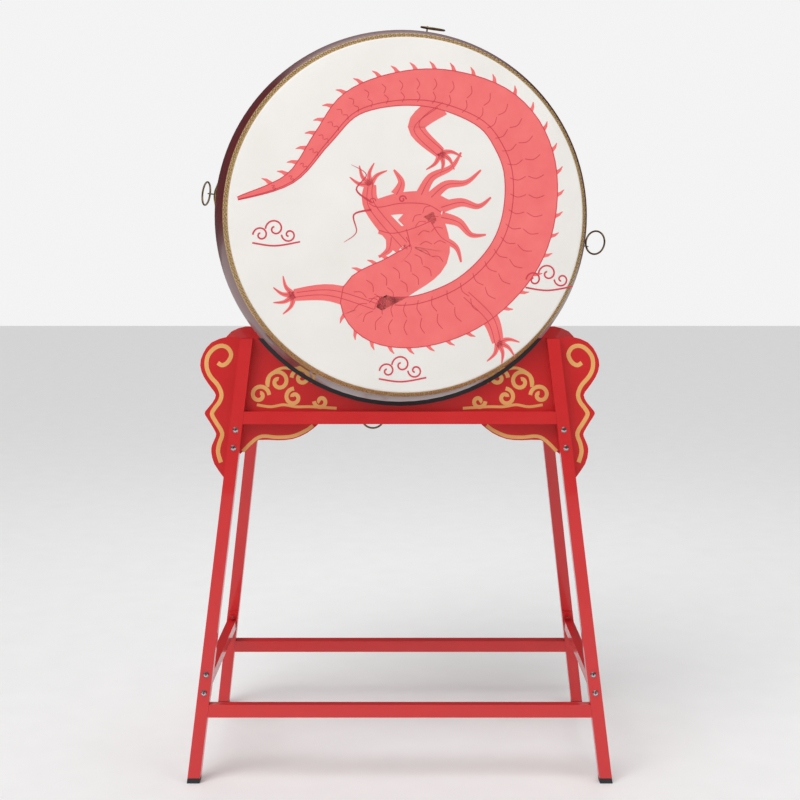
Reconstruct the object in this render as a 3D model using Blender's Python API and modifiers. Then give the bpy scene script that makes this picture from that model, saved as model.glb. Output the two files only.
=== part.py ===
# Barrel drum resting in the rubber-trimmed arcs of a red trestle stand.
# Metres, +Z up. Origin on the floor under the middle of the stand, front towards -Y.
import bpy
import bmesh
from math import sin, cos, tan, acos, radians, pi, sqrt
from mathutils import Matrix, Vector
from mathutils.bvhtree import BVHTree

# Shared fits
FIT = 0.0003             # running gap between pieces that touch
# Stand
TUBE = 0.025             # square tube of legs, rails and panel tube
TUBE_WALL = 0.0015
SIDE_TUBE = 0.020        # square tube of the four side rails
LEAN = radians(3.77)     # each frame leans in towards the other
SPLAY = tan(radians(6.46))  # sideways run of a leg per unit of height
FOOT_HALF = 0.4217       # middle to outer face of a leg, at the floor
FOOT_DEPTH = 0.5194      # front face to rear face of the stand, at the floor
LEG_TOP = 0.879          # up the frame
LOW_RAIL = 0.128         # underside of the lower cross rail
PANEL_TUBE = 0.7074      # underside of the tube below the panel
SHEET = 0.002
SHEET_TOP = 0.8805
PLATE = 0.003            # end plate of a side rail
PLATE_HIGH = 0.060
BOLT_PITCH = 0.036
BOLTS_UP = 0.6778        # middle of the upper pair of bolts
BOLTS_LOW = 0.1940
BOLT_DIA = 0.006
BOLT_HEAD = 0.013
NUT_FLATS = 0.010
NUT_HIGH = 0.005
CAP_HIGH = 0.010         # rubber foot below the tube
PLUG_HIGH = 0.014
# Cradle
ARC_CENTRE = 1.1182      # up the frame
ARC_RADIUS = 0.3690      # cut edge of the sheet
TRIM_BASE = 0.002        # rubber between sheet edge and drum
TRIM_FLANGE = 0.006
TRIM_WIDE = 0.006
# Drum
DRUM_LONG = 0.460
END_RADIUS = 0.3545
BELLY_RADIUS = 0.3955
SHELL_WALL = 0.016
HIDE = 0.0017
LAP = 0.034              # hide nailed down over the shell
DRUM_YAW = radians(3.3)  # turned a little in its cradle
SEAT_GAP = 0.0004
# Ring pulls, as the photo shows them: place round the barrel, swing, slant
PULLS = (("top", 81.7, 96.0, 25.0), ("right", -9.1, 48.0, -25.0),
         ("bottom", -97.7, 0.0, 0.0), ("left", 173.3, -67.0, 0.0))
ROSETTE_RADIUS = 0.025
ROSETTE_HIGH = 0.006
ROSETTE_WALL = 0.0012
EYE_WIRE = 0.0028
EYE_HOLE = 0.004
RING_RADIUS = 0.025
RING_WIRE = 0.004

SHEET_D = TUBE + FIT                 # depth of the sheet's front face behind the tube face
STEPS = 36

for old in list(bpy.data.objects):
    bpy.data.objects.remove(old, do_unlink=True)
parts = bpy.data.collections.new("barrel_drum_on_stand")
tools = bpy.data.collections.new("cutters")
bpy.context.scene.collection.children.link(parts)
bpy.context.scene.collection.children.link(tools)


def material(name, colour, rough, metal=0.0):
    mat = bpy.data.materials.new(name)
    mat.use_nodes = True
    bsdf = mat.node_tree.nodes["Principled BSDF"]
    bsdf.inputs["Base Color"].default_value = (*colour, 1)
    bsdf.inputs["Roughness"].default_value = rough
    bsdf.inputs["Metallic"].default_value = metal
    return mat


RED = ((0.66, 0.022, 0.026), 0.35)
RUBBER = ((0.018, 0.018, 0.024), 0.55)
STEEL = ((0.60, 0.60, 0.62), 0.25, 1.0)
LACQUER = ((0.075, 0.008, 0.010), 0.18)
HIDE_WHITE = ((0.84, 0.80, 0.74), 0.60)
BRASS = ((0.42, 0.28, 0.12), 0.35, 1.0)
IRON = ((0.05, 0.045, 0.04), 0.40, 1.0)


def add(name, mesh, look, parent=None, group=parts):
    obj = bpy.data.objects.new(name, mesh)
    group.objects.link(obj)
    obj.parent = parent
    if look:
        mesh.materials.clear()
        mesh.materials.append(material(name, *look))
    return obj


def block(name, place, steps=()):
    """A box whose eight corners go where place(x, y, z) of -1/+1 puts them."""
    mesh = bpy.data.meshes.new(name)
    bm = bmesh.new()
    bmesh.ops.create_cube(bm, size=2)
    for v in bm.verts:
        v.co = place(*(1 if c > 0 else -1 for c in v.co))
    bmesh.ops.recalc_face_normals(bm, faces=bm.faces)
    bm.to_mesh(mesh)
    bm.free()
    return mesh


def rod(radius, start, end, sides=8):
    """A cylinder mesh from start to end."""
    start, end = Vector(start), Vector(end)
    mesh = bpy.data.meshes.new("rod")
    bm = bmesh.new()
    bmesh.ops.create_cone(bm, cap_ends=True, segments=sides, radius1=radius, radius2=radius,
                          depth=(end - start).length)
    turn = (end - start).to_track_quat("Z", "Y").to_matrix().to_4x4()
    bmesh.ops.transform(bm, matrix=Matrix.Translation((start + end) / 2) @ turn, verts=bm.verts)
    bm.to_mesh(mesh)
    bm.free()
    return mesh


def joined(name, body, operation, others):
    """Body mesh with the other meshes cut from it or welded to it."""
    obj = add(name + "_work", body, None, group=tools)
    helpers = []
    for i, other in enumerate(others):
        cutter = add(f"{name}_tool{i}", other, None, group=tools)
        cutter.display_type = "WIRE"
        cutter.hide_render = True
        mod = obj.modifiers.new("cut", "BOOLEAN")
        mod.operation = operation
        mod.object = cutter
        helpers.append(cutter)
    bpy.context.view_layer.update()
    result = bpy.data.meshes.new_from_object(obj.evaluated_get(bpy.context.evaluated_depsgraph_get()))
    for spare in helpers + [obj]:
        bpy.data.objects.remove(spare, do_unlink=True)
    return result


def from_curve(curve):
    """Solid mesh of a curve, with its caps welded on."""
    obj = bpy.data.objects.new("line", curve)
    tools.objects.link(obj)
    bpy.context.view_layer.update()
    mesh = bpy.data.meshes.new_from_object(obj.evaluated_get(bpy.context.evaluated_depsgraph_get()))
    bpy.data.objects.remove(obj, do_unlink=True)
    bm = bmesh.new()
    bm.from_mesh(mesh)
    bmesh.ops.remove_doubles(bm, verts=bm.verts, dist=1e-6)
    bmesh.ops.recalc_face_normals(bm, faces=bm.faces)
    bm.to_mesh(mesh)
    bm.free()
    return mesh


def flat(points, depth, front):
    """Plate with its outline (x, height up the frame), from front to front + depth."""
    curve = bpy.data.curves.new("outline", "CURVE")
    curve.dimensions = "2D"
    curve.fill_mode = "BOTH"
    curve.extrude = depth / 2
    line = curve.splines.new("POLY")
    line.points.add(len(points) - 1)
    for p, (x, v) in zip(line.points, points):
        p.co = (x, v, 0, 1)
    line.use_cyclic_u = True
    mesh = from_curve(curve)
    mesh.transform(Matrix.Translation((0, front + depth / 2, 0)) @ Matrix.Rotation(pi / 2, 4, "X"))
    return mesh


def wire(points, thick, closed=False, sides=1):
    curve = bpy.data.curves.new("wire", "CURVE")
    curve.dimensions = "3D"
    curve.bevel_depth = thick / 2
    curve.bevel_resolution = sides
    curve.use_fill_caps = True
    line = curve.splines.new("POLY")
    line.points.add(len(points) - 1)
    for p, co in zip(line.points, points):
        p.co = (*co, 1)
    line.use_cyclic_u = closed
    return from_curve(curve)


def turned(name, profile, look, parent, steps=STEPS, closed=False):
    """Profile of (radius, height) points, top to bottom, turned about Z."""
    mesh = bpy.data.meshes.new(name)
    edges = [(i, i + 1) for i in range(len(profile) - 1)]
    if closed:
        edges.append((len(profile) - 1, 0))
    mesh.from_pydata([(r, 0, z) for r, z in profile], edges, [])
    obj = add(name, mesh, look, parent)
    mod = obj.modifiers.new("turn", "SCREW")
    mod.steps = mod.render_steps = steps
    mod.use_merge_vertices = True
    mod.merge_threshold = 0.00005
    mod.use_smooth_shade = True
    return obj


def baked(obj):
    """Mesh of the object with its modifiers applied."""
    bpy.context.view_layer.update()
    return bpy.data.meshes.new_from_object(obj.evaluated_get(bpy.context.evaluated_depsgraph_get()))


def smooth(mesh):
    mesh.shade_smooth()
    mesh.set_sharp_from_angle(angle=radians(35))


def curl(points, per=4):
    """Smooth line through the given points."""
    out = []
    for i in range(len(points) - 1):
        p0, p1 = Vector(points[max(i - 1, 0)]), Vector(points[i])
        p2, p3 = Vector(points[i + 1]), Vector(points[min(i + 2, len(points) - 1)])
        for j in range(per):
            t = j / per
            out.append(0.5 * (2 * p1 + (p2 - p0) * t + (2 * p0 - 5 * p1 + 4 * p2 - p3) * t * t
                              + (3 * p1 - p0 - 3 * p2 + p3) * t ** 3))
    out.append(Vector(points[-1]))
    return [(p.x, p.y) for p in out]


# Frames: x across, y back from the tube faces, z up the leaning frame
frames = {}
for end, turn in (("front", 0), ("rear", pi)):
    empty = bpy.data.objects.new(end + "_frame", None)
    parts.objects.link(empty)
    foot = Matrix.Rotation(turn, 4, "Z") @ Vector((0, -FOOT_DEPTH / 2, 0))
    empty.matrix_world = (Matrix.Translation(foot) @ Matrix.Rotation(turn, 4, "Z")
                          @ Matrix.Rotation(-LEAN, 4, "X"))
    frames[end] = empty
bpy.context.view_layer.update()


def leg_x(v):
    """Middle of a leg at height v up the frame."""
    return FOOT_HALF - TUBE / 2 - SPLAY * v


def up_at(z, d):
    """Height up the frame of the level z, at depth d behind the tube faces."""
    return (z + d * sin(LEAN)) / cos(LEAN)


def leg_mesh(side):
    def shape(half, low, high):
        def place(x, y, z):
            d = TUBE / 2 + y * half
            v = high if z > 0 else up_at(low, d)
            return (side * leg_x(v) + x * half, d, v)
        return place
    body = block("leg", shape(TUBE / 2, CAP_HIGH, LEG_TOP))
    bore = block("bore", shape(TUBE / 2 - TUBE_WALL, -CAP_HIGH, LEG_TOP - TUBE_WALL))
    return joined("leg", body, "DIFFERENCE", [bore] + bolt_holes(side))


def bolt_heights():
    return [m + s * BOLT_PITCH / 2 for m in (BOLTS_UP, BOLTS_LOW) for s in (1, -1)]


def bolt_holes(side, heights=None):
    r = BOLT_DIA / 2 + FIT
    return [rod(r, (side * leg_x(v), -0.01, v), (side * leg_x(v), 0.06, v))
            for v in (heights or bolt_heights())]


def cap_mesh(side):
    def shape(half, low, high):
        def place(x, y, z):
            d = TUBE / 2 + y * half
            v = up_at(high if z > 0 else low, d)
            return (side * leg_x(v) + x * half, d, v)
        return place
    foot = block("foot", shape(TUBE / 2, 0, CAP_HIGH - FIT))
    plug = block("plug", shape(TUBE / 2 - TUBE_WALL - FIT, CAP_HIGH / 2, CAP_HIGH + PLUG_HIGH))
    return joined("cap", foot, "UNION", [plug])


def rail_mesh(low, wall=TUBE_WALL):
    def shape(inset, past):
        def place(x, y, z):
            v = low + inset if z < 0 else low + TUBE - inset
            reach = leg_x(v) - TUBE / 2 - FIT + past
            return (x * reach, TUBE / 2 + y * (TUBE / 2 - inset), v)
        return place
    return joined("rail", block("rail", shape(0, 0)), "DIFFERENCE",
                  [block("bore", shape(wall, 0.01))])


# Scrolled edge of the wing outside the leg, from its top down to the leg
WING = [(-0.322, SHEET_TOP), (-0.350, 0.883), (-0.383, 0.8714), (-0.4005, 0.848), (-0.4058, 0.8247),
        (-0.398, 0.801), (-0.382, 0.778), (-0.3735, 0.7646), (-0.3805, 0.749), (-0.3946, 0.732),
        (-0.3945, 0.724), (-0.3857, 0.7105), (-0.374, 0.691), (-0.3728, 0.6817), (-0.3804, 0.664),
        (-0.3817, 0.649), (-0.3754, 0.6257), (-0.3565, 0.599)]
# Bracket edge inside the leg, from the leg up to the panel tube
BRACKET = [(-0.3225, 0.6468), (-0.304, 0.661), (-0.2854, 0.674), (-0.2469, 0.6734),
           (-0.2165, 0.676), (-0.188, 0.688), (-0.1667, 0.7044)]


def arc_points(radius, top, count):
    """Points of the cradle arc, from its left end at height top to the right one."""
    end = acos((ARC_CENTRE - top) / radius)
    return [(radius * sin(a), ARC_CENTRE - radius * cos(a))
            for a in (end * (2 * i / count - 1) for i in range(count + 1))]


def panel_mesh():
    left = curl(WING, 2) + curl(BRACKET, 2) + [(-0.16, PANEL_TUBE + TUBE / 2)]
    outline = left + [(-x, v) for x, v in reversed(left)]
    outline += list(reversed(arc_points(ARC_RADIUS, SHEET_TOP, 22)))
    body = flat(outline, SHEET, SHEET_D)
    upper = [v for v in bolt_heights() if v > LEG_TOP / 2]
    return joined("panel", body, "DIFFERENCE", bolt_holes(1, upper) + bolt_holes(-1, upper))


def trim_mesh():
    inner, outer = ARC_RADIUS - TRIM_BASE, ARC_RADIUS + TRIM_FLANGE
    top = SHEET_TOP - 0.001
    front = SHEET_D + SHEET / 2 - TRIM_WIDE / 2
    body = flat(arc_points(outer, top, 22) + list(reversed(arc_points(inner, top, 22))),
                TRIM_WIDE, front)
    slot = flat(arc_points(outer + 0.01, top + 0.01, 22)
                + list(reversed(arc_points(ARC_RADIUS - FIT, top + 0.01, 22))),
                SHEET + 2 * FIT, SHEET_D - FIT)
    return joined("trim", body, "DIFFERENCE", [slot])


def bolt_mesh(stack):
    """Dome-head bolt lying along +Y, its head in front of the tube face."""
    r, h = BOLT_HEAD / 2, 0.0035
    profile = [(0, h + FIT), (r * 0.65, h * 0.8 + FIT), (r, FIT),
               (BOLT_DIA / 2, FIT), (BOLT_DIA / 2, -stack), (0, -stack)]
    obj = turned("bolt", profile, None, None, 8)
    mesh = baked(obj)
    bpy.data.objects.remove(obj, do_unlink=True)
    mesh.transform(Matrix.Rotation(pi / 2, 4, "X"))
    smooth(mesh)
    return mesh


meshes = {"left_leg": leg_mesh(-1), "right_leg": leg_mesh(1), "left_foot": cap_mesh(-1),
          "right_foot": cap_mesh(1), "bottom_rail": rail_mesh(LOW_RAIL),
          "panel_tube": rail_mesh(PANEL_TUBE), "panel": panel_mesh(), "cradle_trim": trim_mesh()}
NUT_REACH = PLATE + NUT_HIGH + 0.002
bolt_upper = bolt_mesh(SHEET_D + SHEET + FIT + NUT_REACH)
bolt_lower = bolt_mesh(SHEET_D + NUT_REACH)
OTHER = {"left": "right", "right": "left"}
for end, empty in frames.items():
    for piece, mesh in meshes.items():
        # The rear frame is the front one turned half round, so its left is this frame's right
        side, _, rest = piece.partition("_")
        name = piece if end == "front" or side not in OTHER else OTHER[side] + "_" + rest
        rubber = "foot" in piece or "trim" in piece
        add(f"{end}_{name}", mesh.copy(), RUBBER if rubber else RED, empty)
    for side in (-1, 1):
        word = ("left", "right")[(side > 0) == (end == "front")]
        for v, place in zip(bolt_heights(), ("upper_a", "upper_b", "lower_a", "lower_b")):
            mesh = (bolt_upper if place[0] == "u" else bolt_lower).copy()
            bolt = add(f"bolt_{end}_{word}_{place}", mesh, STEEL, empty)
            bolt.location = (side * leg_x(v), 0, v)


def side_rail(side, middle, extra):
    """Side rail in the stand's frame: a tube with a bolted end plate and weld nuts at each end."""
    front = frames["front"].matrix_world
    depth = SHEET_D + extra
    x0 = side * leg_x(middle)

    def plate(x, y, z):
        v = middle + z * PLATE_HIGH / 2
        return front @ Vector((side * leg_x(v) + x * TUBE / 2, depth + (PLATE if y > 0 else 0), v))

    def tube(x, y, z):
        v = middle + z * SIDE_TUBE / 2
        p = front @ Vector((x0 + x * SIDE_TUBE / 2, depth + PLATE / 2, v))
        return (p.x, p.y if y < 0 else -p.y, p.z)

    heights = [middle + s * BOLT_PITCH / 2 for s in (1, -1)]
    nuts = [rod(NUT_FLATS / sqrt(3), (side * leg_x(v), depth + PLATE / 2, v),
                (side * leg_x(v), depth + PLATE + NUT_HIGH, v), 6) for v in heights]
    holes = bolt_holes(side, heights)
    for mesh in nuts + holes:
        mesh.transform(front)
    solids = [block("plate", plate)] + nuts
    mirror = Matrix.Scale(-1, 4, (0, 1, 0))
    for mesh in list(solids) + list(holes):
        twin = mesh.copy()
        twin.transform(mirror)
        twin.flip_normals()
        (solids if mesh in solids else holes).append(twin)
    body = joined("side", block("tube", tube), "UNION", solids)
    return joined("side", body, "DIFFERENCE", holes)


for side, word in ((-1, "left"), (1, "right")):
    add(f"upper_{word}_side_rail", side_rail(side, BOLTS_UP, SHEET + FIT), RED)
    add(f"lower_{word}_side_rail", side_rail(side, BOLTS_LOW, 0), RED)

# Drum: local +Z to the player's head, +Y up
drum = bpy.data.objects.new("drum", None)
parts.objects.link(drum)
drum.rotation_euler = (pi / 2, 0, DRUM_YAW)
HALF = DRUM_LONG / 2 - HIDE - FIT
BULGE = BELLY_RADIUS - END_RADIUS
BARREL = (HALF ** 2 + BULGE ** 2) / (2 * BULGE)


def barrel(z):
    """Outer radius of the shell at distance z from its middle."""
    return BELLY_RADIUS - BARREL + sqrt(BARREL ** 2 - z ** 2)


def shell_line(inset, count, half=HALF):
    return [(barrel(z) - inset, z) for z in (half * (1 - 2 * i / count) for i in range(count + 1))]


shell = turned("drum_shell", shell_line(0, 8) + list(reversed(shell_line(SHELL_WALL, 4))),
               LACQUER, drum, closed=True)


def lap_line(inset, count):
    zs = [HALF - LAP * i / count for i in range(count + 1)]
    return [(barrel(z) + inset, z) for z in zs]


FACE = DRUM_LONG / 2
OUT = FIT + HIDE
ROUND = 0.004
hide = [(0, FACE), (barrel(HALF) + OUT - ROUND, FACE), (barrel(HALF) + OUT - ROUND * 0.3, FACE - ROUND * 0.3),
        (barrel(HALF) + OUT, HALF - ROUND / 2)]
hide += lap_line(OUT, 1)[1:] + list(reversed(lap_line(FIT, 1)))
hide += [(barrel(HALF) + FIT, HALF + FIT), (0, HALF + FIT)]
front_head = turned("front_head", hide, HIDE_WHITE, drum)
rear_head = add("rear_head", baked(front_head), HIDE_WHITE, drum)
rear_head.rotation_euler = (0, pi, 0)


def pull_frame(angle):
    """Frame on the barrel's belly: +Z outwards, +X along the axis to the front, +Y round it."""
    a = radians(angle)
    out = Vector((cos(a), sin(a), 0))
    front = Vector((0, 0, 1))
    turn = Matrix((front, out.cross(front), out)).transposed().to_4x4()
    return Matrix.Translation(out * BELLY_RADIUS) @ turn


RIM_DROP = BELLY_RADIUS - sqrt(BELLY_RADIUS ** 2 - ROSETTE_RADIUS ** 2)
ROSE_BASE = FIT - RIM_DROP / 2
NECK = EYE_WIRE / 2 + FIT / 2
PIN_HOLE = NECK + EYE_WIRE / 2 + FIT
LOOP = EYE_HOLE + EYE_WIRE / 2
EYE_HIGH = ROSE_BASE + ROSETTE_HIGH + LOOP + EYE_WIRE / 2
RING_OUT = EYE_HOLE - RING_WIRE / 2 - 0.0008
dome = [(PIN_HOLE, ROSETTE_HIGH), (ROSETTE_RADIUS * 0.45, ROSETTE_HIGH * 0.82),
        (ROSETTE_RADIUS * 0.8, ROSETTE_HIGH * 0.4), (ROSETTE_RADIUS, ROSETTE_WALL), (ROSETTE_RADIUS, 0),
        (ROSETTE_RADIUS * 0.82, 0), (ROSETTE_RADIUS * 0.45, ROSETTE_HIGH * 0.82 - ROSETTE_WALL),
        (PIN_HOLE, ROSETTE_HIGH - ROSETTE_WALL)]


def eye_points():
    """Split-pin eye: two clenched legs through the shell and a round eye outside."""
    inside = -SHELL_WALL - EYE_WIRE / 2 - 0.0025
    start = acos(NECK / LOOP)
    centre = EYE_HIGH
    turn = [(-pi / 2 + (pi / 2 - start) * 1.0) + (2 * pi - 2 * (pi / 2 - start)) * i / 8 for i in range(9)]
    loop = [(LOOP * cos(a), 0, centre + LOOP * sin(a)) for a in turn]
    leg = [(NECK + 0.010, 0, inside), (NECK, 0, inside)]
    return leg + loop + [(-x, y, z) for x, y, z in reversed(leg)]


eye_mesh = wire(eye_points(), EYE_WIRE)
smooth(eye_mesh)
ring_mesh = wire([(0, RING_RADIUS * sin(a), RING_RADIUS * (1 - cos(a)))
                  for a in (2 * pi * i / 18 for i in range(18))], RING_WIRE, closed=True)
smooth(ring_mesh)
pin_holes = []
for name, angle, swing, slant in PULLS:
    seat = bpy.data.objects.new(name + "_pull", None)
    parts.objects.link(seat)
    seat.parent = drum
    seat.matrix_local = pull_frame(angle)
    rose = turned(name + "_rosette", dome, BRASS, seat, 12, closed=True)
    rose.location = (0, 0, ROSE_BASE)
    add(name + "_eye", eye_mesh.copy(), IRON, seat)
    ring = add(name + "_ring", ring_mesh.copy(), IRON, seat)
    ring.matrix_local = (Matrix.Translation((0, 0, EYE_HIGH + RING_OUT))
                         @ Matrix.Rotation(radians(swing), 4, "Y")
                         @ Matrix.Rotation(radians(-slant), 4, "X"))
    hole = rod(PIN_HOLE + FIT, (0, 0, -0.05), (0, 0, 0.02), 12)
    hole.transform(pull_frame(angle))
    pin_holes.append(hole)
shell_mesh = joined("shell", baked(shell), "DIFFERENCE", pin_holes)
bpy.data.objects.remove(shell, do_unlink=True)
smooth(shell_mesh)
add("drum_shell", shell_mesh, LACQUER, drum)

# The drum comes down until it rests on both trims
bpy.context.view_layer.update()
graph = bpy.context.evaluated_depsgraph_get()
LIFT = 2.0


def world_mesh(name, lift=0.0):
    obj = bpy.data.objects[name]
    mesh = obj.evaluated_get(graph).to_mesh()
    bm = bmesh.new()
    bm.from_mesh(mesh)
    bm.transform(Matrix.Translation((0, 0, lift)) @ obj.matrix_world)
    bmesh.ops.subdivide_edges(bm, edges=[e for e in bm.edges if e.calc_length() > 0.01], cuts=3)
    return BVHTree.FromBMesh(bm), [v.co.copy() for v in bm.verts]


drops = []
for body in ("drum_shell", "front_head", "rear_head"):
    tree, points = world_mesh(body, LIFT)
    for trim in ("front_cradle_trim", "rear_cradle_trim"):
        rest_tree, rest_points = world_mesh(trim)
        for p in rest_points:
            hit = tree.ray_cast(p, Vector((0, 0, 1)))
            if hit[0]:
                drops.append(hit[3])
        for p in points:
            hit = rest_tree.ray_cast(p, Vector((0, 0, -1)))
            if hit[0]:
                drops.append(hit[3])
drum.location = (0, 0, LIFT - min(drops) + SEAT_GAP)

# The whole stands with the middle of its bounding box over the origin
whole = bpy.data.objects.new("whole", None)
parts.objects.link(whole)
for obj in list(parts.objects):
    if obj.parent is None and obj != whole:
        obj.parent = whole
bpy.context.view_layer.update()
reach = [(obj.matrix_world @ v.co).x for obj in parts.objects if obj.name.endswith("_ring")
         for v in obj.data.vertices]
whole.location.x = -(min(reach) + max(reach)) / 2
bpy.context.view_layer.update()
print("drum centre height", round(drum.location.z, 4), "shift", round(whole.location.x, 5))
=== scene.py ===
# %% [markdown]
# # Barrel drum on a red trestle stand
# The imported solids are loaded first. The looks are then built on and around them, and each new
# piece is told which body it rides on, so that it moves as the solids do.

# %% Load the solids
import bpy
import bmesh
from math import sin, cos, radians, pi, sqrt
from mathutils import Matrix, Vector


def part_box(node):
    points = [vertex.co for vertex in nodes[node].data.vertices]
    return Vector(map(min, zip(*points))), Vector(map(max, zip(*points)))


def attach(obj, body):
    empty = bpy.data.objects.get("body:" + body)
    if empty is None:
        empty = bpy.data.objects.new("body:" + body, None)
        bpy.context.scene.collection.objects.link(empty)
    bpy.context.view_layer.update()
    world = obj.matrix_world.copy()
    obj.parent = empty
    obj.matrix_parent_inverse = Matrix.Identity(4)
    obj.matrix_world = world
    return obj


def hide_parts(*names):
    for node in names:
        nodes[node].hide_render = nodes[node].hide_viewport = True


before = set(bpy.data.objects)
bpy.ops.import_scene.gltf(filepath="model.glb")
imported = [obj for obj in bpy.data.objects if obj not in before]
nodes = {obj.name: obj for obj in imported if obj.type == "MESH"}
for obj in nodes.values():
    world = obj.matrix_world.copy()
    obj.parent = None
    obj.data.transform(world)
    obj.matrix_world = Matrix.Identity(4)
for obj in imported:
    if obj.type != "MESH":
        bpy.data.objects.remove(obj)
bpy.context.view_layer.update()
print(len(nodes), "solids")

# %% [markdown]
# The drum and the two frames have their own coordinates. Each matrix below takes a point from
# those coordinates to the world, so ornament can be drawn flat and then laid on its surface.

# %% Places
LEAN, DEPTH = radians(3.77), 0.5194
low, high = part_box("drum_shell")
CENTRE = (low + high) / 2
YAW = radians(3.3)
DRUM = Matrix.Translation(CENTRE) @ Matrix.Rotation(YAW, 4, "Z") @ Matrix.Rotation(pi / 2, 4, "X")
low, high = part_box("front_bottom_rail")
SHIFT = Matrix.Translation(((low.x + high.x) / 2, 0, 0))
FRONT = SHIFT @ Matrix.Translation((0, -DEPTH / 2, 0)) @ Matrix.Rotation(-LEAN, 4, "X")
REAR = SHIFT @ Matrix.Rotation(pi, 4, "Z") @ Matrix.Translation((0, -DEPTH / 2, 0))
REAR = REAR @ Matrix.Rotation(-LEAN, 4, "X")
# Half length over the hides and of the shell, then the hide's thickness and the gap to the shell
FACE, HALF, HIDE, GAP = 0.230, 0.228, 0.0017, 0.0003
# Radii of the shell at its belly and ends, and of the arc that its staves follow
BELLY, END = 0.3955, 0.3545
ARC = (HALF ** 2 + (BELLY - END) ** 2) / (2 * (BELLY - END))


def barrel(z):
    """Outer radius of the shell at distance z from its middle."""
    return BELLY - ARC + sqrt(ARC ** 2 - z ** 2)


print("drum centre", CENTRE[:])

# %% [markdown]
# Shader maths reads better with operators, so sockets are wrapped in a small class. Every
# material is made by one function: two close colours mixed by noise, and a fine bump.

# %% Shader helpers
class Sock:
    """A shader value that can be added to, subtracted from and scaled."""

    def __init__(self, tree, out):
        self.tree, self.out = tree, out

    def math(self, kind, other=None, swap=False):
        node = self.tree.nodes.new("ShaderNodeMath")
        node.operation = kind
        pair = [self, other] if not swap else [other, self]
        for slot, value in zip(node.inputs, pair):
            if isinstance(value, Sock):
                self.tree.links.new(value.out, slot)
            elif value is not None:
                slot.default_value = value
        return Sock(self.tree, node.outputs[0])

    def __radd__(self, other):
        return self.math("ADD", other)

    def __sub__(self, other):
        return self.math("SUBTRACT", other)

    def __rsub__(self, other):
        return self.math("SUBTRACT", other, True)

    def __mul__(self, other):
        return self.math("MULTIPLY", other)

    def __gt__(self, other):
        return self.math("GREATER_THAN", other)


def noise(tree, scale, detail=3.0):
    """Noise from 0 to 1 in the piece's own coordinates."""
    coord = tree.nodes.new("ShaderNodeTexCoord")
    tex = tree.nodes.new("ShaderNodeTexNoise")
    tex.inputs["Scale"].default_value = scale
    tex.inputs["Detail"].default_value = detail
    tree.links.new(coord.outputs["Object"], tex.inputs["Vector"])
    return Sock(tree, tex.outputs["Fac"])


def blended(tree, factor, first, second):
    """Colour between two colours, each a tuple or a colour socket."""
    mix = tree.nodes.new("ShaderNodeMix")
    mix.data_type = "RGBA"
    tree.links.new(factor.out, mix.inputs[0])
    for slot, value in ((mix.inputs[6], first), (mix.inputs[7], second)):
        if isinstance(value, tuple):
            slot.default_value = (*value, 1)
        else:
            tree.links.new(value, slot)
    return mix.outputs[2]


def surface(name, dark, light, rough, metal=0.0, scale=12.0, bump=0.02, coat=0.0, grain=400.0):
    """Material whose colour and roughness vary gently, with a fine bump."""
    mat = bpy.data.materials.new(name)
    mat.use_nodes = True
    tree = mat.node_tree
    bsdf = tree.nodes["Principled BSDF"]
    broad = noise(tree, scale)
    tree.links.new(blended(tree, broad, dark, light), bsdf.inputs["Base Color"])
    tree.links.new((rough + (broad - 0.5) * 0.15).out, bsdf.inputs["Roughness"])
    bsdf.inputs["Metallic"].default_value = metal
    bsdf.inputs["Coat Weight"].default_value = coat
    lump = tree.nodes.new("ShaderNodeBump")
    lump.inputs["Strength"].default_value = bump
    lump.inputs["Distance"].default_value = 0.001
    tree.links.new(noise(tree, grain, 2.0).out, lump.inputs["Height"])
    tree.links.new(lump.outputs["Normal"], bsdf.inputs["Normal"])
    return mat


def along_axis(tree):
    """Distance of the shaded point from the drum's middle, along the drum's axis."""
    coord = tree.nodes.new("ShaderNodeTexCoord")
    dot = tree.nodes.new("ShaderNodeVectorMath")
    dot.operation = "DOT_PRODUCT"
    axis = DRUM.to_3x3() @ Vector((0, 0, 1))
    dot.inputs[1].default_value = axis
    tree.links.new(coord.outputs["Object"], dot.inputs[0])
    return Sock(tree, dot.outputs["Value"]) - CENTRE.dot(axis)


def hide_material():
    """Pale blotchy hide on the face, yellow-brown where it is lapped over the shell: partly the lap's gold
    tone, partly painted shade on the lap, which faces away from the front light.
    """
    mat = surface("hide", (0.80, 0.77, 0.72), (0.90, 0.88, 0.85), 0.55, scale=9.0, bump=0.05,
                  grain=250.0)
    tree = mat.node_tree
    bsdf = tree.nodes["Principled BSDF"]
    face = bsdf.inputs["Base Color"].links[0].from_socket
    # The lap's yellow-brown is partly its gold tone and partly painted shade on the side of the hide
    side = blended(tree, noise(tree, 30.0), (0.42, 0.25, 0.10), (0.66, 0.47, 0.25))
    lap = 1.0 - (along_axis(tree).math("ABSOLUTE") > FACE - 0.0025)
    tree.links.new(blended(tree, lap, face, side), bsdf.inputs["Base Color"])
    return mat


# %% [markdown]
# The paints, metals and hide follow the photo. Each is a darker and a lighter tone, then roughness.

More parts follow.
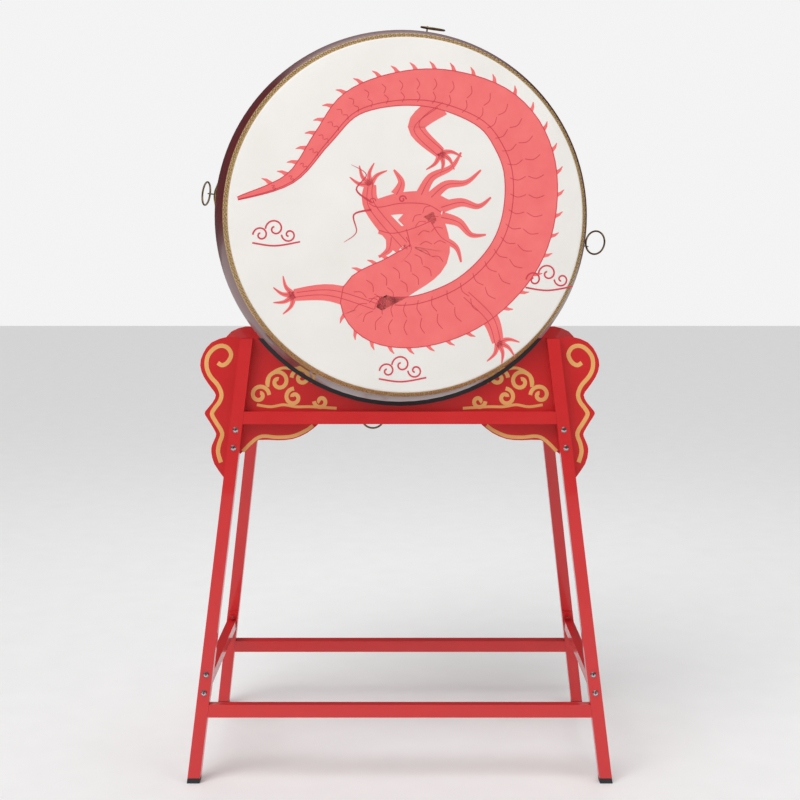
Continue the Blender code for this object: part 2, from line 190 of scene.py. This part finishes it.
# %% Materials
RED = surface("red_enamel", (0.56, 0.010, 0.012), (0.66, 0.016, 0.018), 0.32, coat=0.5, bump=0.03)
# Black rubber of the trims and feet; the same black, laid on the bolt heads, is painted shade of their cross
# recesses
RUBBER_AND_RECESS_SHADE = surface("black_rubber", (0.012, 0.012, 0.016), (0.030, 0.030, 0.036), 0.6, bump=0.10)
STEEL = surface("zinc", (0.50, 0.50, 0.52), (0.72, 0.72, 0.74), 0.25, metal=1.0, bump=0.03)
LACQUER = surface("lacquer", (0.100, 0.006, 0.009), (0.190, 0.014, 0.016), 0.34, coat=0.15,
                  scale=6.0, bump=0.01)
BRASS = surface("brass", (0.40, 0.26, 0.10), (0.66, 0.48, 0.22), 0.32, metal=1.0, scale=60.0, bump=0.06)
IRON = surface("dark_iron", (0.18, 0.13, 0.075), (0.34, 0.25, 0.14), 0.38, metal=1.0, scale=60.0, bump=0.05)
GOLD = surface("gold_paint", (0.72, 0.36, 0.10), (0.84, 0.47, 0.16), 0.40, coat=0.3, scale=25.0)
CORAL = surface("coral_paint", (0.86, 0.13, 0.13), (0.94, 0.20, 0.19), 0.55, scale=30.0)
CRIMSON = surface("crimson_line", (0.60, 0.035, 0.06), (0.72, 0.06, 0.09), 0.55, scale=30.0)
HIDES = hide_material()
print(len(bpy.data.materials), "materials")

# %% [markdown]
# Solids that already look right keep their mesh and only get a material.

# %% Materials of the solids
for name, node in nodes.items():
    look = RED
    if "foot" in name or "trim" in name:
        look = RUBBER_AND_RECESS_SHADE
    elif name.startswith("bolt"):
        look = STEEL
    elif name.endswith(("_eye", "_ring")):
        look = IRON
    elif name.endswith("_rosette"):
        look = BRASS
    elif name.endswith("_head"):
        look = HIDES
    elif name == "drum_shell":
        look = LACQUER
    node.data.materials.clear()
    node.data.materials.append(look)
print("materials set")

# %% [markdown]
# The drum is turned again with more steps, so its outline is round. Each new piece rides on the
# body it belongs to and replaces the plain solid.

# %% Finer drum
def keep(obj, name, look, place, body):
    """Apply modifiers, lay the mesh in place in world space, and let it ride on its body."""
    bpy.context.view_layer.update()
    mesh = bpy.data.meshes.new_from_object(obj.evaluated_get(bpy.context.evaluated_depsgraph_get()))
    mesh.transform(place @ obj.matrix_world)
    bpy.data.objects.remove(obj, do_unlink=True)
    bm = bmesh.new()
    bm.from_mesh(mesh)
    bmesh.ops.recalc_face_normals(bm, faces=bm.faces)
    bm.to_mesh(mesh)
    bm.free()
    mesh.shade_smooth()
    mesh.set_sharp_from_angle(angle=radians(40))
    mesh.materials.clear()
    mesh.materials.append(look)
    piece = bpy.data.objects.new(name, mesh)
    bpy.context.scene.collection.objects.link(piece)
    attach(piece, body)
    return piece


def turned(profile, steps):
    """Closed profile of (radius, height) points turned about Z."""
    mesh = bpy.data.meshes.new("profile")
    count = len(profile)
    mesh.from_pydata([(r, 0, z) for r, z in profile], [(i, (i + 1) % count) for i in range(count)], [])
    obj = bpy.data.objects.new("profile", mesh)
    bpy.context.scene.collection.objects.link(obj)
    mod = obj.modifiers.new("turn", "SCREW")
    mod.steps = mod.render_steps = steps
    mod.use_merge_vertices = True
    mod.merge_threshold = 0.00005
    return obj


STEPS, WALL = 144, 0.016
outer = [(barrel(z), z) for z in (HALF * (1 - i / 12) for i in range(25))]
inner = [(r - WALL, z) for r, z in reversed(outer)]
shell = keep(turned(outer + inner, STEPS), "shell_skin", LACQUER, DRUM, "drum")
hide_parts("drum_shell")
# The hide runs from its middle over a rounded rim, down its lap and back along the shell
MIDDLE, LAP = 0.0001, (0.222, 0.212, 0.203, 0.194)
out = HIDE + GAP
rim = barrel(HALF) + out
cap = [(MIDDLE, FACE), (rim - 0.004, FACE), (rim - 0.0022, FACE - 0.0005),
       (rim - 0.0008, FACE - 0.0018), (rim - 0.0001, FACE - 0.0038)]
cap += [(barrel(z) + out, z) for z in LAP]
cap += [(barrel(z) + GAP, z) for z in (*reversed(LAP), HALF)] + [(MIDDLE, HALF + GAP)]
for name, turn in (("front_head", 0), ("rear_head", pi)):
    place = DRUM @ Matrix.Rotation(turn, 4, "Y")
    skin = keep(turned(cap, STEPS), name + "_skin", HIDES, place, "drum")
    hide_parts(name)
print("drum skins made")

# %% [markdown]
# Three staggered rows of small brass nails hold each hide. One dome is copied round in one mesh.

# %% Nails
NAIL_RADIUS, NAIL_FLAT, NAIL_SUNK, PER_ROW = 0.0036, 0.6, 0.0004, 250
NAIL_ROWS = (0.2205, 0.2125, 0.2045)
bpy.ops.mesh.primitive_uv_sphere_add(segments=8, ring_count=6, radius=NAIL_RADIUS)
dome = bpy.context.object
dome_points = [v.co.copy() for v in dome.data.vertices]
dome_faces = [tuple(p.vertices) for p in dome.data.polygons]
bpy.data.objects.remove(dome, do_unlink=True)
for end, turn in (("front", 0), ("rear", pi)):
    points, faces = [], []
    for row, z in enumerate(NAIL_ROWS):
        r = barrel(z) + out
        for i in range(PER_ROW):
            a = 2 * pi * (i + 0.5 * (row % 2)) / PER_ROW
            seat = Matrix.Rotation(a, 4, "Z") @ Matrix.Translation((r - NAIL_SUNK, 0, z))
            base = len(points)
            points += [seat @ Vector((p.x * NAIL_FLAT, p.y, p.z)) for p in dome_points]
            faces += [tuple(base + k for k in face) for face in dome_faces]
    mesh = bpy.data.meshes.new("nails")
    mesh.from_pydata(points, [], faces)
    nails = bpy.data.objects.new("nails", mesh)
    bpy.context.scene.collection.objects.link(nails)
    piece = keep(nails, end + "_nails", BRASS, DRUM @ Matrix.Rotation(turn, 4, "Y"), "drum")
print(len(NAIL_ROWS) * PER_ROW, "nails at each end")

# %% [markdown]
# The rings are remade round, in the same places as the solids they stand for.

# %% Ring pulls
# Name, place round the barrel, swing from straight out and slant, in degrees
PULLS = (("top", 81.7, 96.0, 25.0), ("right", -9.1, 48.0, -25.0),
         ("bottom", -97.7, 0.0, 0.0), ("left", 173.3, -67.0, 0.0))
ROSETTE_RADIUS, ROSETTE_HIGH = 0.025, 0.006
EYE_HOLE, EYE_WIRE, RING_PLAY = 0.004, 0.0028, 0.0008
RING_RADIUS, RING_WIRE = 0.025, 0.004
# Heights above the belly of the eye's middle and of the axis that the ring swings about
rim_drop = BELLY - sqrt(BELLY ** 2 - ROSETTE_RADIUS ** 2)
eye_high = GAP - rim_drop / 2 + ROSETTE_HIGH + EYE_HOLE + EYE_WIRE
hinge_high = eye_high + EYE_HOLE - RING_WIRE / 2 - RING_PLAY
for name, angle, swing, slant in PULLS:
    a = radians(angle)
    away, front = Vector((cos(a), sin(a), 0)), Vector((0, 0, 1))
    turn = Matrix((front, away.cross(front), away)).transposed().to_4x4()
    seat = DRUM @ Matrix.Translation(away * BELLY) @ turn
    bpy.ops.mesh.primitive_torus_add(major_radius=RING_RADIUS, minor_radius=RING_WIRE / 2,
                                     major_segments=64, minor_segments=16)
    ring = bpy.context.object
    ring.data.transform(Matrix.Translation((0, 0, RING_RADIUS)) @ Matrix.Rotation(pi / 2, 4, "Y"))
    place = seat @ Matrix.Translation((0, 0, hinge_high))
    place = place @ Matrix.Rotation(radians(swing), 4, "Y") @ Matrix.Rotation(radians(-slant), 4, "X")
    piece = keep(ring, name + "_ring_skin", IRON, place, name + "_ring")
    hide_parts(name + "_ring")
    print(name, "ring made")

# %% [markdown]
# Painted ornament is drawn as thin strips in a plane, then laid just above its surface.

# %% Strips
def smooth_line(points, per=6):
    """Smooth line through the given flat points, with per steps from one to the next."""
    out_points = []
    for i in range(len(points) - 1):
        p0, p1 = Vector(points[max(i - 1, 0)]), Vector(points[i])
        p2, p3 = Vector(points[i + 1]), Vector(points[min(i + 2, len(points) - 1)])
        for j in range(per):
            t = j / per
            out_points.append(0.5 * (2 * p1 + (p2 - p0) * t + (2 * p0 - 5 * p1 + 4 * p2 - p3) * t * t
                                     + (3 * p1 - p0 - 3 * p2 + p3) * t ** 3))
    return out_points + [Vector(points[-1])]


def strip(bm, line, width, base, thick=0.00012):
    """Closed thin strip along a flat line; width is a number or a function of 0..1 along it."""
    rows, last = [], len(line) - 1
    for i, p in enumerate(line):
        way = (line[min(i + 1, last)] - line[max(i - 1, 0)]).normalized()
        side = Vector((-way.y, way.x)) * (width(i / last) if callable(width) else width) / 2
        rows.append([bm.verts.new((q.x, q.y, h)) for q, h in
                     ((p + side, base), (p - side, base), (p - side, base + thick),
                      (p + side, base + thick))])
    for a, b in zip(rows, rows[1:]):
        for k in range(4):
            bm.faces.new((a[k], a[(k + 1) % 4], b[(k + 1) % 4], b[k]))
    bm.faces.new(rows[0])
    bm.faces.new(rows[-1])


def art(bm, name, look, place, body):
    """Finish the strips drawn so far as one piece."""
    mesh = bpy.data.meshes.new(name)
    bmesh.ops.recalc_face_normals(bm, faces=bm.faces)
    bm.to_mesh(mesh)
    bm.free()
    obj = bpy.data.objects.new(name + "_draft", mesh)
    bpy.context.scene.collection.objects.link(obj)
    return keep(obj, name, look, place, body)


def taper(wide, tip=0.15):
    """Width that narrows along a strip to a share of its start."""
    return lambda t: wide * (1 - t) + wide * tip * t


def spiral(x, y, r, start, turns, way=1, count=26):
    """Line that winds in to (x, y) from radius r."""
    line = []
    for i in range(count + 1):
        a = radians(start) + way * 2 * pi * turns * i / count
        line.append(Vector((x, y)) + Vector((cos(a), sin(a))) * r * (1 - 0.8 * i / count))
    return line


print("strip tools ready")

# %% [markdown]
# The panels carry gold scroll lines along the wings and brackets, and a cloud on each side. The
# points are metres across and up the frame, for the left side; the right side mirrors them.

# %% Panel ornament
SCROLL = [(-.370, .830), (-.361, .825), (-.350, .831), (-.343, .846), (-.350, .860), (-.364, .8645),
          (-.379, .858), (-.391, .842), (-.3925, .821), (-.385, .803), (-.369, .784), (-.362, .766),
          (-.366, .751), (-.376, .7375), (-.381, .726), (-.373, .7105), (-.363, .695),
          (-.360, .6835), (-.366, .666), (-.368, .649), (-.362, .629)]
BRACKET = [(-.318, .6515), (-.285, .680), (-.247, .6795), (-.2165, .682), (-.190, .6935), (-.176, .7035)]
# Curls of the cloud: middle, radius, start in degrees, turns and way round
CLOUD = [(-.285, .765, .020, 0, 1.2, 1), (-.246, .792, .024, 200, 1.3, -1),
         (-.200, .800, .020, 180, 1.2, -1), (-.215, .760, .018, 90, 1.2, 1), (-.160, .752, .014, 180, 1.1, 1)]
SKY = [[(-.290, .745), (-.262, .741), (-.236, .745), (-.210, .741), (-.180, .741), (-.128, .738)],
       [(-.268, .781), (-.262, .806), (-.240, .819), (-.215, .818), (-.190, .823), (-.175, .806),
        (-.178, .788)]]
# Middle of a leg at the floor and its run inwards per metre up, then the bolts' heights
FOOT_X, SPLAY = 0.4092, 0.11322
BOLTS = (0.6958, 0.6598, 0.2120, 0.1760)
ARM, SLOT = 0.0025, 0.0011
PANEL_DEPTH, BOLT_FRONT, OVER = 0.0251, -0.0039, 0.00002
FLAT = Matrix.Rotation(pi / 2, 4, "X")
for end, place in (("front", FRONT), ("rear", REAR)):
    bm = bmesh.new()
    for flip in (1, -1):
        lines = [(SCROLL, 0.0085), (BRACKET, 0.007)] + [(line, 0.0055) for line in SKY]
        for line, wide in lines:
            strip(bm, smooth_line([(x * flip, v) for x, v in line]), wide, 0)
        for x, v, r, start, turns, way in CLOUD:
            line = [Vector((p.x * flip, p.y)) for p in spiral(x, v, r, start, turns, way)]
            strip(bm, line, 0.0080, OVER)
    lay = place @ Matrix.Translation((0, PANEL_DEPTH, 0)) @ FLAT
    art(bm, end + "_gold_lines", GOLD, lay, "stand")
    # Painted shade of the cross recess on each bolt head, drawn as flat black strips with no hollow cut into
    # the head
    bm = bmesh.new()
    for v in BOLTS:
        for x in (FOOT_X - SPLAY * v, SPLAY * v - FOOT_X):
            strip(bm, [Vector((x - ARM, v)), Vector((x + ARM, v))], SLOT, 0)
            strip(bm, [Vector((x, v - ARM)), Vector((x, v + ARM))], SLOT, OVER)
    lay = place @ Matrix.Translation((0, BOLT_FRONT, 0)) @ FLAT
    art(bm, end + "_bolt_recess_shade", RUBBER_AND_RECESS_SHADE, lay, "stand")
    print(end, "ornament laid")

# %% [markdown]
# The head carries a coiled dragon in coral red. Its body starts as a thin tail at the left, runs
# round the rim and winds in to the middle. Coral strips fill it, and crimson lines lie over them.

# %% Dragon's body
def spot(right, down):
    """Point of the head plane; both numbers are in units of 2 mm from the middle."""
    return Vector((right, -down)) * 0.002


def square_to(way):
    """Direction square to the given one, to its left."""
    return Vector((-way.y, way.x))


def body_width(t):
    return 0.006 + 0.100 * min(1, t * 2.6) * (1 if t < 0.62 else 1 - 0.9 * (t - 0.62))


# Heights above the hide: what lies over something else is a little higher
SPINE_HIGH, LEG_HIGH, CLAW_HIGH, HAIR_HIGH, JAW_HIGH = 0.00003, 0.00006, 0.00009, 0.0001, 0.00012
LINE_HIGH = 0.00015
LEG_LINE, CLAW_LINE, HAIR_LINE, JAW_LINE, CURL_LINE = 0.0002, 0.00022, 0.00024, 0.00026, 0.00030
COIL = ((-168, -16), (-116, -36), (-84, -76), (-54, -111), (-6, -126), (44, -124), (94, -102),
        (122, -57), (124, -2), (106, 46), (66, 86), (16, 106), (-26, 104), (-42, 82),
        (-8, 62), (22, 40), (18, 8), (4, -8))
coil = smooth_line([spot(*p) for p in COIL], 6)
fill, line_work = bmesh.new(), bmesh.new()
strip(fill, coil, body_width, 0)
last = len(coil) - 1
for i in range(4, last - 2, 2):
    # Spines stand along the outer edge, scales lie across the body
    way = (coil[i + 1] - coil[i - 1]).normalized()
    side = square_to(way)
    wide = body_width(i / last)
    foot = coil[i] + side * wide * 0.46
    spine = [foot, foot + side * 0.011 - way * 0.006, foot + side * 0.017 - way * 0.013]
    strip(fill, spine, taper(0.010), SPINE_HIGH)
    for k in (-0.25, 0.1):
        mid = coil[i] + side * wide * k
        scale = [mid + side * wide * 0.15, mid + way * 0.006, mid - side * wide * 0.15]
        strip(line_work, smooth_line(scale, 3), 0.0014, LINE_HIGH)
# Outlines stop where the neck turns so tightly that its inner edge would fold
for edge, stop in ((0.5, 0.97), (-0.5, 0.70), (-0.34, 0.70)):
    rail = []
    for i in range(int(last * stop)):
        way = (coil[i + 1] - coil[max(i - 1, 0)]).normalized()
        rail.append(coil[i] + square_to(way) * body_width(i / last) * edge)
    strip(line_work, rail, 0.0018, LINE_HIGH)
print(len(coil), "points along the body")

# %% [markdown]
# Four legs leave the body, each with four bent claws.

# %% Dragon's legs
# Hip, knee and paw, then the way the paw faces in degrees
LEGS = (((-30, 92), (-75, 78), (-112, 80), 180), ((60, 80), (84, 104), (92, 128), -60),
        ((34, -110), (10, -88), (34, -62), -70), ((-2, 30), (-34, -8), (-36, -30), 100))
for hip, knee, paw, facing in LEGS:
    leg = smooth_line([spot(*hip), spot(*knee), spot(*paw)])
    paw = spot(*paw)
    strip(fill, leg, taper(0.046, 0.5), LEG_HIGH)
    for edge in (0.5, -0.5):
        strip(line_work, [p + Vector((0.010, 0.010)) * edge for p in leg], 0.0014, LEG_LINE)
    for k in range(4):
        turn = radians(facing - 60 + 40 * k)
        away = Vector((cos(turn), sin(turn)))
        claw = smooth_line([paw, paw + away * 0.022 + square_to(away) * 0.006, paw + away * 0.044])
        strip(fill, claw, taper(0.013), CLAW_HIGH)
        strip(line_work, claw, taper(0.0018), CLAW_LINE)
print(len(LEGS), "legs drawn")

# %% [markdown]
# The head faces left in the middle, with two jaws, a mane, whiskers, an eye and a nostril.

# %% Dragon's head
NECK = Vector((0.020, 0.005))


def from_neck(points):
    return smooth_line([NECK + Vector(p) for p in points])


JAWS = (([(.05, .0), (.02, .016), (-.03, .018), (-.075, .010), (-.095, .018)], 0.060),
        ([(.04, -.012), (.0, -.030), (-.045, -.042), (-.075, -.036)], 0.030))
HAIR = ([(.03, .03), (.06, .055), (.10, .060), (.13, .085)],
        [(.01, .035), (.03, .070), (.07, .090), (.09, .12)],
        [(.05, .01), (.09, .020), (.125, .012), (.15, .03)],
        [(.05, -.01), (.085, -.020), (.11, -.045), (.14, -.045)],
        [(.03, -.02), (.05, -.050), (.08, -.070), (.09, -.10)], [(-.04, .035), (-.03, .060), (-.045, .085)],
        [(-.02, -.05), (-.01, -.075), (-.03, -.10)], [(-.05, -.05), (-.055, -.075), (-.075, -.09)])
WHISKERS = ([(-.09, .02), (-.12, .045), (-.10, .075), (-.13, .095)],
            [(-.09, .005), (-.125, -.005), (-.12, -.04), (-.145, -.06)])
for points, wide in JAWS:
    strip(fill, from_neck(points), taper(wide, 0.45), JAW_HIGH)
    strip(line_work, from_neck(points), 0.0016, JAW_LINE)
for points in HAIR:
    strip(fill, from_neck(points), taper(0.024), HAIR_HIGH)
    strip(line_work, from_neck(points), taper(0.0018), HAIR_LINE)
for points in WHISKERS:
    strip(line_work, from_neck(points), taper(0.0045), LEG_LINE)
strip(line_work, spiral(NECK.x - .028, NECK.y + .026, .008, 0, 1.2), 0.003, CURL_LINE)
strip(line_work, spiral(NECK.x - .088, NECK.y + .022, .007, 0, 1.1), 0.002, CURL_LINE)
print(len(HAIR), "locks in the mane")

# %% [markdown]
# Three small clouds float round the dragon. Then all strips become two pieces on the front head.

# %% Clouds, and the drawing laid on the head
PUFFS = ((-.028, 0, .016, -1), (0, .012, .019, -1), (.028, 0, .015, 1))
for x, y in ((-.262, -.040), (.285, -.130), (-.010, -.312)):
    for dx, dy, r, way in PUFFS:
        strip(line_work, spiral(x + dx, y + dy, r, 180, 1.2, way), 0.0032, LEG_LINE)
    base = [(x - .045, y - .016), (x, y - .022), (x + .05, y - .014)]
    strip(line_work, smooth_line(base), 0.0032, LEG_LINE)
lay = DRUM @ Matrix.Translation((0, 0, FACE + 0.00005))
art(fill, "dragon_fill", CORAL, lay, "drum")
art(line_work, "dragon_lines", CRIMSON, lay, "drum")
print("dragon laid")

# %% [markdown]
# A pale studio: a floor, and a world that looks light to the camera and dim to shiny surfaces, so
# that the dark lacquer stays dark.

# %% Floor and world
bpy.ops.mesh.primitive_plane_add(size=30)
floor = bpy.context.object
floor.name = "studio_floor"
floor.data.materials.append(surface("floor", (0.86, 0.86, 0.86), (0.90, 0.90, 0.90), 0.7, bump=0.0))
world = bpy.data.worlds.new("studio")
bpy.context.scene.world = world
world.use_nodes = True
tree = world.node_tree
tree.nodes.clear()
result = tree.nodes.new("ShaderNodeOutputWorld")
mix = tree.nodes.new("ShaderNodeMixShader")
path = tree.nodes.new("ShaderNodeLightPath")
glow, seen = tree.nodes.new("ShaderNodeBackground"), tree.nodes.new("ShaderNodeBackground")
glow.inputs["Color"].default_value = (0.80, 0.80, 0.80, 1)
glow.inputs["Strength"].default_value = 0.62
seen.inputs["Color"].default_value = (0.90, 0.90, 0.90, 1)
tree.links.new(path.outputs["Is Camera Ray"], mix.inputs[0])
tree.links.new(glow.outputs[0], mix.inputs[1])
tree.links.new(seen.outputs[0], mix.inputs[2])
room, dim = tree.nodes.new("ShaderNodeMixShader"), tree.nodes.new("ShaderNodeBackground")
dim.inputs["Color"].default_value = (0.05, 0.05, 0.05, 1)
tree.links.new(path.outputs["Is Glossy Ray"], room.inputs[0])
tree.links.new(mix.outputs[0], room.inputs[1])
tree.links.new(dim.outputs[0], room.inputs[2])
tree.links.new(room.outputs[0], result.inputs["Surface"])
print("floor and world made")

# %% [markdown]
# Three soft lamps and a wide sun light it. The camera stands level, 3.23 m in front, with its
# picture shifted as in the photo.

# %% Lamps and camera
# Place, size in metres and power in watts
LAMPS = (((-2.2, -2.6, 3.0), 2.0, 26), ((2.4, -2.2, 2.6), 2.0, 14), ((0, 1.5, 3.2), 2.5, 16))
AIM = Vector((0, 0, 0.8))
for where, size, power in LAMPS:
    bpy.ops.object.light_add(type="AREA", location=where)
    lamp = bpy.context.object
    lamp.data.size, lamp.data.energy = size, power
    lamp.rotation_euler = (AIM - Vector(where)).to_track_quat("-Z", "Y").to_euler()
bpy.ops.object.light_add(type="SUN", location=(0, 0, 4))
sun = bpy.context.object
sun.data.energy, sun.data.angle = 1.25, radians(40)
sun.rotation_euler = (radians(28), radians(-14), 0)
view = bpy.data.objects.new("camera", bpy.data.cameras.new("camera"))
bpy.context.scene.collection.objects.link(view)
view.location = (0.0013, -3.230, 1.0827)
view.rotation_euler = (pi / 2, 0, 0)
view.data.lens, view.data.sensor_width = 67.5, 36
view.data.shift_x, view.data.shift_y = -0.00385, -0.204
scene = bpy.context.scene
scene.camera = view
scene.render.resolution_x = scene.render.resolution_y = 800
scene.view_settings.view_transform = "Standard"
print("stage set")
